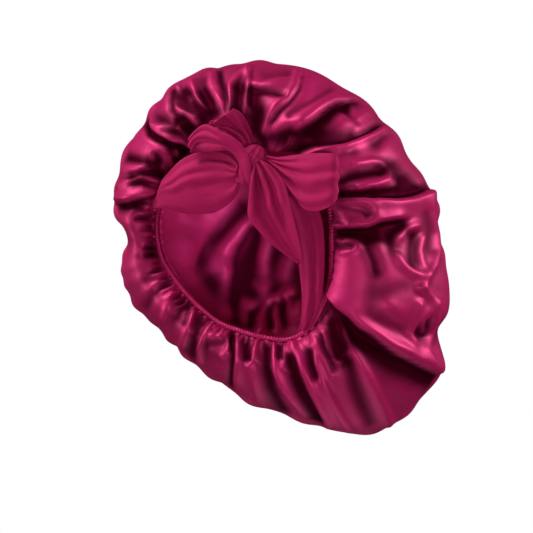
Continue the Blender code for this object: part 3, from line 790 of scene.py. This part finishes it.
def crownShape(rows, columns):
    # Out and forward from the casing, round the belly, and back to a point. Over the brow the
    # gathers sag in front of the elastic, down to the bow.
    runs, angles = bagRows(crown, rows), ringAngles(columns)
    mouth, reach, depth, belly = aroundOpening(angles)
    mouth = mouth + opening["casingWidth"] + opening["gap"]
    base, normal = bagBase(crown, angles, runs, (mouth, reach), (belly, depth, crown["back"]))
    outward = ringPoints(angles, 1.0, 0.0)
    at, width, middle, half, down, forward = crown["brow"]
    sag = bell(degreesFrom(at, angles), width, 4) * bell(runs - middle, half)[:, None]
    base = base + sag[..., None] * (np.array([0.0, -forward, 0.0]) - down * outward)
    # where the front view sees the cloth it has the drawn folds, and elsewhere its own
    right, up, seen, folds, height = drawnFolds(crown, crownFolds, base, normal)
    steps = planSteps(crownCreases, right, up, crown["creaseEdge"]) * seen
    back = crown["backGain"] * backRelief(angles, runs) * (1.0 - seen)
    height += crown["creaseGain"] * steps + back + gathers(angles, runs, seen)
    # painted shade: the shade of a furrow reaches further out than the furrow itself, up to the
    # ridge beside it; ridges hold part of it off, the low side of each crease is darker, and the
    # back folds shade it too
    furrows = [fold for fold in crownFolds if fold[0] < 0]
    shade = planRelief(furrows, right, up, crown["shadeSpread"]) * seen
    shade += crown["ridgeShade"] * np.maximum(folds, 0.0) + steps
    # no fold stands out further than the tallest allowed there
    tallest = np.interp(runs, *np.array(crown["tallest"]).T)[:, None]
    height = tallest * np.tanh(height / tallest) * smoothStep(*crown["sewnRuns"], runs)[:, None]
    goal = base + normal * height[..., None]
    # the first row is sewn into the casing in small tucks
    turn = np.radians(angles)
    wander = waves(np.random.default_rng(crown["tuckSeed"]), angles, *crown["tuckWander"])
    swell, swells = crown["tuckSwell"]
    tuck = crown["tuckHeight"] * np.sin(crown["tucks"] * turn + wander)
    tuck *= 1 + swell * np.sin(swells * turn)
    start = goal.copy()
    start[0] = base[0] - crown["sewnUnder"] * outward + normal[0] * tuck[:, None]
    start[-1] = base[-1]
    return bagCloth(start, goal, crown["shadeGain"] * shade + back)


lining = dict(
    back=112.0, reachShare=0.35, depthShare=0.55,      # against the crown's
    # run, shares of mouth and reach and millimetres more in the radius, and shares of depth,
    # back and the casing's back and millimetres more in the depth
    line=((0, 1, 0, 2, 0, 0, 1, 0), (0.10, 1, 0, 4, 0, 0, 1, 9),
          (0.24, 0.45, 0.55, 0, 0.50, 0, 0, 8), (0.42, 0, 1, 0, 1, 0, 0, 0),
          (0.58, 0, 0.92, 0, 0.48, 0.52, 0, 0), (0.72, 0, 0.72, 0, 0.20, 0.80, 0, 0),
          (0.86, 0, 0.40, 0, 0.04, 0.96, 0, 0), (1, 0, 0, 0, 0, 1, 0, 0)),
    levels=((121, 600, 20),),      # rows, columns, turns
    evenRows=0.8, seed=8,
    handling=dict(weight=0.0, glide=0.5, pull=0.12, aslant=0.3, stiff=0.20),
    foldGain=0.55, furrowGain=0.45, foldSpread=1.7, tallest=11.0, seenFrom=0.3,
    # painted shade of the folds: gain, window of the running mean and span of the measure
    shadeGain=1.1, shadeWindow=(3.0, 6.0), shadeSpan=(6.5, -3.0),
    pleats=58, pleatHeight=1.3, pleatRun=(0.02, 0.08), pleatWander=1.5, pleatSwell=(0.3, 3, 20),
    warp=(1.0, 1, 12), sewnRuns=(-0.03, 0.06), tucks=70, tuckHeight=0.6,
    flat=(0.41, 0.41),
)

# height towards the opening, half width, and each point's right and up
liningFolds = [
    # the first two rows are wide and shallow: they mostly paint shade over the middle of the back
    # and paint light over the upper left, with a small dent and bulge
    (-5, 20, 22,22, 14,-5, 8,-30, 6,-55),
    (4, 10, -70,30, -76,5, -70,-25),
    (-7, 7, 86,45, 86,5, 82,-40),
    (9, 7, -53,20, -58,4, -57,-12, -50,-28),
    (-3, 4, -65,25, -68,11, -66,-5),
    (4, 6, -33,25, -42,13, -48,0, -49,-15),
    (-8, 5, 0,31, -13,17, -27,2, -36,-11, -45,-27),
    (-4, 6, -42,-21, -33,-33, -25,-43),
    (7, 5, 14,28, 0,15, -12,0, -18,-15, -13,-30, -16,-46, -11,-59, -13,-70),
    (3, 5, -26,-21, -17,-27),
    (-4, 5, -32,-38, -21,-49, -13,-57),
    (-10, 4.6, 11,8, 2,-8, -4,-23, -6,-38, -7,-55, -4,-74),
    (7, 4, 21,4, 20,-10, 23,-27, 25,-42, 21,-55, 11,-61, 3,-62, 0,-72),
    (-7, 4.5, 14,0, 9,-13, 6,-28, 8,-46, 14,-53),
    (4, 3, 11,-41, 17,-48),
    (-7, 5, 36,-8, 30,-21, 28,-34, 32,-46),
    (4, 5, 44,-21, 41,-33),
    (8, 3, 20,-87, 20,-76, 23,-65, 29,-58, 39,-52, 49,-50),
    (-8, 3, 29,-82, 27,-70, 30,-62, 38,-60),
    (7, 2.8, 36,-84, 33,-72, 35,-63, 43,-57),
    (-8, 3, 43,-81, 40,-69, 42,-61, 48,-56),
    (7, 3, 49,-78, 48,-66, 48,-59),
    (-6, 3, 7,-70, 10,-80),
    (5, 2.4, 4,-76, 6,-68),
    (-5, 3.5, 15,-68, 21,-62),
    (-7, 5, 53,-28, 57,-43, 57,-57),
    (6, 3, 57,-74, 58,-61),
]


def liningShape(rows, columns):
    # straight back from behind the casing, then out and round inside the crown
    runs, angles = bagRows(lining, rows), ringAngles(columns)
    mouth, reach, depth, belly = aroundOpening(angles)
    reach = mouth + lining["reachShare"] * (reach - mouth)
    casingBack = opening["casingCentre"] + opening["casingDepth"] / 2 + opening["gap"]
    base, normal = bagBase(lining, angles, runs, (mouth, reach, 1.0),
                           (lining["depthShare"] * depth, lining["back"], casingBack, 1.0))
    # what shows through the opening has the drawn folds
    right, up, seen, folds, height = drawnFolds(lining, liningFolds, base, -normal)
    height = lining["tallest"] * np.tanh(height / lining["tallest"])
    # small pleats stand beside the casing, and the first row is sewn in with tucks
    turn = np.radians(angles)
    random = np.random.default_rng(lining["seed"])
    warp = waves(random, angles, *lining["warp"])
    middle, half = lining["pleatRun"]
    ripple = lining["pleatHeight"] * bell(runs - middle, half)[:, None] * np.sin(
        lining["pleats"] * turn + lining["pleatWander"] * warp)
    swing = (1.0 + waves(random, angles, *lining["pleatSwell"])) * shirring(angles)
    height = (height + ripple * swing) * smoothStep(*lining["sewnRuns"], runs)[:, None]
    goal = base - normal * height[..., None]
    tuck = lining["tuckHeight"] * shirring(angles) * np.sin(lining["tucks"] * turn + warp)
    start = goal.copy()
    start[0] = base[0] + ringPoints(angles, tuck, 0.0)
    start[-1] = base[-1]
    # the drawn folds also give the painted shade
    return bagCloth(start, goal, -lining["shadeGain"] * folds)


casing = dict(
    columns=1440, sides=16, squareness=3.0, seed=21,
    pleats=210, pleatDepth=0.36, pleatWander=(1.6, 2, 40), pleatSwell=(0.35, 5, 60), pleatLean=0.5,
    smoothSide=(215.0, 45.0, 0.85),      # angle, half width, share of the shirring left out there
    cloth=(1050.0, 22.0),      # length and width that its threads are counted on
    flat=(0.60, 0.0105),       # the folded binding, laid flat
)


def shirring(angles):
    # 1 where the elastic gathers the cloth fully, and little where the binding lies smooth
    at, width, cut = casing["smoothSide"]
    return 1.0 - cut * bell(degreesFrom(at, angles), width, 4)


def makeCasing():
    # A rounded section carried round the opening. Uneven shirring presses it in between pleats
    # that slant a little, and it fades where the binding lies smooth.
    count, around = casing["columns"], casing["sides"]
    angles = ringAngles(count)
    turn = np.radians(angles)[:, None]
    sides = (np.arange(around) * fullTurn / around)[None, :]
    random = np.random.default_rng(casing["seed"])
    wander = waves(random, angles, *casing["pleatWander"])[:, None]
    swing = 1.0 + waves(random, angles, *casing["pleatSwell"])[:, None]
    pleat = np.sin(casing["pleats"] * turn + wander + casing["pleatLean"] * np.sin(sides))
    pleat = pleat * swing * shirring(angles)[:, None] * casing["pleatDepth"]
    wide, deep = opening["casingWidth"] / 2.0, opening["casingDepth"] / 2.0
    power = casing["squareness"]
    square = (np.abs(np.cos(sides))**power + np.abs(np.sin(sides))**power)**(-1.0 / power)
    radius = aroundOpening(angles)[0][:, None] + wide + (wide * square + pleat) * np.cos(sides)
    depth = opening["casingCentre"] + (deep * square + pleat) * np.sin(sides)
    rings = ringPoints(angles[:, None], radius, depth)
    side, ring = gridCorners(around + 1, count, True)
    faces = ring % count * around + side % around
    long, wide = casing["cloth"]
    flat = joined(ring * long / count, side * wide / around)
    piece = newPiece("elastic_binding", "elastic_casing", rings, faces, casingSatin, flat)
    tell("casing")


ties = dict(
    wall=1.4, levels=((3.6, 120), (1.3, 110)),      # spacing of the threads, turns
    handling=dict(weight=0.01, glide=0.85, pull=0.05, aslant=0.3, stiff=0.35),
    leastFull=1.02, mostExtra=1.6,      # the least cloth, and the most more of it, for its place
    phaseDrift=(0.8, 4.0), finePleats=(0.35, 1.7, 1.3),      # share, count, drift
    foldFade=(0.12, 0.15), slackAlong=1.01, slackAcross=1.08, leastArea=0.31,
)

# Stations along each strip of cloth, as seen in the turned view: right, up, out of one edge,
# right, up, out of the other edge, how far the middle stands proud, and the width it was cut to.
# Folds: share of the width where one begins and where it ends, height, half width, first and last
# run. Pleats: how many lie side by side, and full: the share of their height that is left.
straps = [
    dict(
        node="left_strap", cloth="left_tie", held="stretched", pleats=2.0, full=0.35,
        folds=((0.08, 0.17, -1.8, 0.035, 0.1, 1.1), (0.15, 0.26, 1.8, 0.07, 0.1, 1.1),
               (0.26, 0.38, -2, 0.035, 0.25, 1.1), (0.34, 0.5, 1.8, 0.08, 0.3, 1.1),
               (0.48, 0.6, -1.4, 0.03, 0.5, 1.1), (0.8, 0.74, -1.6, 0.04, 0.7, 1.1)),
        stations=(
            (-85,40,-31.6, -84.5,32.3,-31.6, 0, 8.5), (-79.8,44.7,-25, -78.9,30.9,-24, 0.8, 16),
            (-75,57,-16, -69.4,30.4,-15, 3, 30), (-66.5,66,-7, -53.2,25.7,-5, 5, 46),
            (-54.2,77.5,0, -39.9,24.7,4, 6, 58), (-38,83.6,4, -24.7,25.7,10, 6, 63),
            (-17.1,82,10, -11.4,33.3,17, 5, 62), (-6,75,18, -2,44,22, 3, 56),
            (-1.5,67.5,26.5, -0.1,58,26.5, 0.6, 46))),
    dict(
        node="right_strap", cloth="right_tie", held="stretched", pleats=2.0,
        folds=((0.3, 0.35, 2.2, 0.12, 0.05, 1.1), (0.52, 0.6, -2.4, 0.09, 0.1, 0.95),
               (0.78, 0.8, 2, 0.12, 0.2, 1.1)),
        stations=(
            (54.5,-86,30.2, 63.5,-85,32.2, 0, 11), (57.5,-74.1,34, 72,-70.4,40, 1, 18),
            (58.5,-55.1,38, 77,-49.5,44, 2, 23), (57,-36.1,38, 79,-22.9,44, 2.5, 29),
            (54.2,-14.3,37, 78.5,3.8,43, 3, 34), (49.4,7.6,36, 75,24.7,42, 3, 36),
            (40.9,28.5,32, 63,45.6,37, 2.5, 36), (29,44,25, 41,57,26, 1.5, 36),
            (14.9,52.9,27, 18.4,60.9,26.4, 0.4, 34))),
    dict(
        node="left_loop", cloth="left_bow_loop", held="folded", pleats=2.0,
        folds=((0.35, 0.45, 1.6, 0.16, 0, 0.45), (0.3, 0.4, 1.4, 0.14, 0.5, 1.1),
               (0.62, 0.72, -1.5, 0.1, 0.55, 1.1)),
        stations=(
            (5.5,85.5,28.6, 2.6,78,28.6, 0.3, 22), (-11.4,95,20, -11.4,84.5,21, 1, 22),
            (-28.5,101.7,13, -28.5,83.5,15, 2, 22), (-41,99.8,8, -41.8,84,9, 1.5, 20),
            (-47.5,96,12, -46.6,83,13, 0, 17), (-41.5,102.6,20, -40.6,92.2,20, 0.5, 15),
            (-31.4,108.3,28, -28.9,91.2,27, 1.5, 20), (-19,101.7,36, -17.1,88.4,33, 1.5, 20),
            (-6,95.5,40.5, -8.6,82.7,36.5, 1, 20), (5.5,84,42.5, -1.5,74,37.5, 0.8, 18),
            (10,70,43.5, 1.5,64,38, 0.8, 16), (12,57,41.5, 5.5,54,37, 0.6, 14),
            (11.5,50,35, 7.5,49,33, 0.2, 12))),
    dict(
        node="right_loop", cloth="right_bow_loop", held="folded", pleats=3.0,
        folds=((0.16, 0.14, -1.6, 0.05, 0, 0.36), (0.3, 0.24, 2.6, 0.08, 0, 0.4),
               (0.42, 0.46, -2.4, 0.06, 0, 0.36), (0.56, 0.62, 2.2, 0.08, 0, 0.42),
               (0.7, 0.84, -2.4, 0.06, 0, 0.34), (0.84, 0.95, 1.6, 0.06, 0, 0.34)),
        stations=(
            (23.6,79.5,34.1, 25.4,71,33.1, 0.3, 44), (34.2,76.5,40, 34.2,62.7,37, 1.5, 48),
            (47.5,77.4,49, 46.6,44.7,46, 3, 52), (63.7,78.9,60, 58.9,28.6,56, 3, 56),
            (77.9,79.3,68, 71.3,25.7,64, 3, 57), (87.4,77.9,73, 83.7,30.5,71, 1.5, 50),
            (90.2,74.1,69.5, 89.8,38,68.5, 0.5, 38), (84,73,63.5, 79.9,35.3,61.5, 0.5, 39),
            (68,71,52, 62,36,48, 0.5, 38), (48,70,41, 44,50,38, 0.5, 32),
            (33,71,33, 31.5,60.5,31, 0.3, 28), (22.8,69.8,29.8, 23.4,63.8,28.8, 0.2, 26))),
    dict(
        node="upper_tail", cloth="upper_bow_tail", held="hung", pleats=2.0,
        folds=((0.35, 0.3, 1.6, 0.1, 0, 1.1), (0.55, 0.55, -1.6, 0.07, 0, 0.9),
               (0.75, 0.8, 1.8, 0.1, 0, 1.1)),
        stations=(
            (3.9,88.2,31.1, 11.9,89.6,31.1, 0.3, 26), (-6,98,28, 11.4,98.9,29, 1, 27),
            (-20,105.5,27, 8.6,107.4,30, 1.5, 32), (-29.3,108,27, 2.9,116.9,33.5, 1.5, 35),
            (-25.7,110.7,30, -5.7,122.2,35, 0.8, 24))),
    dict(
        node="lower_tail", cloth="lower_bow_tail", held="hung", pleats=2.5,
        folds=((0.3, 0.4, 2, 0.14, 0, 1.1), (0.56, 0.62, -2.6, 0.06, 0, 0.62),
               (0.68, 0.74, 2.2, 0.06, 0, 0.7), (0.8, 0.84, -2.4, 0.05, 0, 0.55),
               (0.2, 0.1, -1.4, 0.1, 0.25, 0.9)),
        stations=(
            (13.5,68,42.5, 20.5,74,39.5, 0.3, 34), (11,52,45, 31,66,46, 1.8, 38),
            (9.5,36.1,45, 40.9,52.3,52, 3, 43), (8.6,20.9,46, 45.6,38,54, 3.5, 44),
            (16.2,10.5,47, 50.1,20.9,54, 3.5, 38), (26.6,-1,48, 54.6,3.8,53, 2.5, 30),
            (41.8,-13.3,49, 58,-11.4,52, 1.2, 17), (54.2,-22,50, 59.4,-22.5,50, 0.3, 6))),
]


def stripShape(strap, seed):
    # The strip's middle surface at any fineness: a cubic through the stations, the edges joined
    # by a low arch. Cloth wider than its place stands in pleats as deep as that width needs.
    table = np.array(strap["stations"], float)
    knots = np.arange(len(table), dtype=float)
    pleats = strap["pleats"]

    def shape(rows, columns):      # the strip as a grid of this size, and its threads
        runs = np.linspace(0.0, 1.0, rows)
        values = curveThrough(knots, table, runs * knots[-1])
        edge, other = fromView(*values[:, 0:3].T), fromView(*values[:, 3:6].T)
        share = np.linspace(0.0, 1.0, columns)
        plain = edge[:, None] + (other - edge)[:, None] * share[None, :, None]
        normal = -facing(plain, False)
        arch = 4.0 * share * (1.0 - share)
        place = np.linalg.norm(other - edge, axis=1)
        cut = np.maximum(values[:, 7], place * ties["leastFull"])
        depth = np.sqrt(np.minimum(cut / place - 1.0, ties["mostExtra"]))
        depth *= place / (math.pi * pleats)
        random = np.random.default_rng(seed)
        drift, drifts = ties["phaseDrift"]
        phase = random.uniform(0, phaseSpan)
        phase += drift * np.sin(runs[:, None] * drifts + random.uniform(0, phaseSpan))
        fine, fineCount, fineDrift = ties["finePleats"]
        turn = fullTurn * pleats * share
        wave = np.sin(turn + phase) + fine * np.sin(fineCount * turn - fineDrift * phase)
        fadeIn, fadeOut = ties["foldFade"]
        relief = strap.get("full", 1.0) * depth[:, None] * wave * np.sqrt(arch)
        for begin, end, height, half, first, last in strap["folds"]:
            fade = smoothStep(first, first + fadeIn, runs)
            fade *= 1.0 - smoothStep(last - fadeOut, last, runs)
            aside = share - (begin + (end - begin) * runs)[:, None]
            relief += height * bell(aside, half) * fade[:, None]
        goal = plain + normal * (values[:, 6:7] * arch + relief)[..., None]
        free = np.ones((rows, columns))
        free[0] = 0.0
        if strap["held"] != "hung":
            free[-1] = 0.0
        across, along = threadLengths(goal, False)
        own = across.sum(axis=1, keepdims=True)
        across = np.clip(cut[:, None], own, ties["slackAcross"] * own) / (columns - 1)
        return dict(start=goal, goal=goal, free=free, along=along * ties["slackAlong"],
                    across=np.repeat(across, columns - 1, axis=1))

    length = np.linalg.norm(np.diff(table[:, 0:3] + table[:, 3:6], axis=0), axis=1).sum() / 2
    return shape, length, table[:, 7].max(), table[:, 7].mean()


def makeStrip(strap, seed):
    # a strip settled from its shape, with a wall
    shape, length, widest, usual = stripShape(strap, seed)
    levels = [(int(length / spacing) | 1, int(widest / spacing) | 1, turns)
              for spacing, turns in ties["levels"]]
    points, cloth = drape(shape, levels, ties["handling"], False)
    piece = newPiece(strap["cloth"], strap["node"], points, gridFaces(points, False),
                     tieCloth, stripFlat(cloth["across"], cloth["along"]))
    wall = piece.modifiers.new("wall", "SOLIDIFY")
    wall.thickness = ties["wall"] * millimetre
    wall.offset = 0.0
    wall.use_even_offset = True
    soft = piece.modifiers.new("soft", "SUBSURF")
    soft.levels = soft.render_levels = 1
    tell(f"{strap['cloth']} {points.shape[0]} x {points.shape[1]}")


knot = dict(
    centre=(11.0, 69.0, 32.0), length=41.0, width=20.0, depth=17.0, lean=20.0,
    columns=160, rows=121, fullness=0.75, topHeavy=0.2,
    # count, twist, height, phase
    creases=((1.2, 3.0, 0.9, 0.3), (2.0, 5.0, 0.6, 1.9), (3.2, -2.0, 0.5, 4.0)),
    creaseStretch=1.3, creaseBend=0.5,
    cloth=(55.0, 45.0),      # round it and along it
    flat=(0.045, 0.036),
)


def makeKnot():
    # An oval of wrapped cloth: an ellipse turned round its long axis. Slanting creases are sines
    # of rise and turn, sharpened so the valleys are narrow and the plies between them full.
    rows, columns = knot["rows"], knot["columns"]
    turn = np.arange(columns) * fullTurn / columns
    rise = np.linspace(-0.5, 0.5, rows)[:, None] * math.pi
    relief = np.zeros((rows, columns))
    for count, twist, height, phase in knot["creases"]:
        wave = np.sin(count * rise * knot["creaseStretch"] + twist * turn + phase
                      + knot["creaseBend"] * np.sin(2.0 * rise + turn + phase))
        relief += height * (1.0 - 2.0 * (1.0 - np.abs(wave))**2)
    waist = np.clip(np.cos(rise), 0.0, 1.0)**knot["fullness"]
    waist = waist * (1.0 + knot["topHeavy"] * np.sin(rise))
    relief = relief * waist
    across = (knot["width"] / 2.0 + relief) * waist * np.cos(turn)
    out = (knot["depth"] / 2.0 + relief) * waist * np.sin(turn)
    along = knot["length"] / 2.0 * np.sin(rise)
    lean = math.radians(knot["lean"])
    right, up, front = knot["centre"]
    points = fromView(across * math.cos(lean) + along * math.sin(lean) + right,
                      along * math.cos(lean) - across * math.sin(lean) + up, out + front)
    row, column = gridCorners(rows, columns, True)
    around, high = knot["cloth"]
    flat = joined(column * around / columns, row * high / rows)
    piece = newPiece("bow_knot", "knot", points, gridFaces(points, True), tieCloth,
                     flat)
    tell("knot")


studio = dict(
    pixels=533, millimetresPerPixel=0.95, openingAt=(240.0, 240.0),      # in the photograph
    distance=2.0, floorDrop=1.0, floorRadius=0.8,      # metres
    floorSides=96, floorColour=(0.75, 0.75, 0.75, 1.0), floorRoughness=0.9,
    lights=(      # place, size, watts
        ((-1.3, -1.0, 2.4), 1.4, 124.0),
        ((2.1, 0.9, 0.9), 0.8, 66.0),
        ((-2.3, -1.2, 0.2), 1.2, 46.0),
        ((1.5, -2.2, -0.7), 1.2, 44.0)),
    lightsMeet=(0.0, 0.05, 0.0), ambient=0.02,
)


def aimed(item, place, back):
    # a lamp or camera at its place, with its back turned this way
    item.location = place
    item.rotation_mode = "QUATERNION"
    item.rotation_quaternion = Vector(back).to_track_quat("Z", "Y")


def makeRoom():
    # a round pale floor, square soft lights and a white surrounding that gives little light
    sides = studio["floorSides"]
    turn = np.arange(sides) * fullTurn / sides
    radius = studio["floorRadius"]
    rim = joined(radius * np.cos(turn), radius * np.sin(turn), cadBox[0][2] - studio["floorDrop"])
    mesh = bpy.data.meshes.new("floor")
    mesh.from_pydata(rim.tolist(), [], [tuple(range(sides))])
    mesh.update()
    mesh.materials.append(newMaterial("pale_floor", {
        "Base Color": studio["floorColour"], "Roughness": studio["floorRoughness"]}))
    inScene("floor", mesh)
    for place, side, watts in studio["lights"]:
        lamp = bpy.data.lights.new("softbox", "AREA")
        lamp.size = side
        lamp.energy = watts
        aimed(inScene("softbox", lamp), place, Vector(place) - Vector(studio["lightsMeet"]))
    world = bpy.data.worlds.new("studio")
    scene.world = world
    world.use_nodes = True
    tree = world.node_tree
    dim = tree.nodes["Background"]
    fill(tree, dim, {"Color": white, "Strength": studio["ambient"]})
    bright = newNode(tree, "Background", {"Color": white, "Strength": 1.0})[0]
    direct = newNode(tree, "LightPath", {})["Is Camera Ray"]
    mix = newNode(tree, "MixShader", {0: direct, 1: dim.outputs[0], 2: bright})[0]
    fill(tree, tree.nodes["World Output"], {"Surface": mix})
    scene.view_settings.view_transform = "Standard"
    scene.view_settings.look = "None"


def makeCamera():
    # level with the opening, turned to the photograph's side view
    metresPerPixel = studio["millimetresPerPixel"] * millimetre
    middle = studio["pixels"] / 2.0
    openingRight, openingDown = studio["openingAt"]
    lens = bpy.data.cameras.new("camera")
    lens.lens = lens.sensor_width * studio["distance"] / (studio["pixels"] * metresPerPixel)
    camera = inScene("camera", lens)
    place = fromView((middle - openingRight) * metresPerPixel,
                     (openingDown - middle) * metresPerPixel, studio["distance"])
    aimed(camera, place, fromView(0.0, 0.0, 1.0))
    scene.camera = camera


makeCamera()
makeRoom()
makeBag("satin_crown", "crown", crown, crownShape, satin)
makeBag("satin_lining", "lining", lining, liningShape, liningSatinPaintedLighter)
makeCasing()
for seed, strap in enumerate(straps, start=1):
    makeStrip(strap, seed)
makeKnot()

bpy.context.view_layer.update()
tell("done")
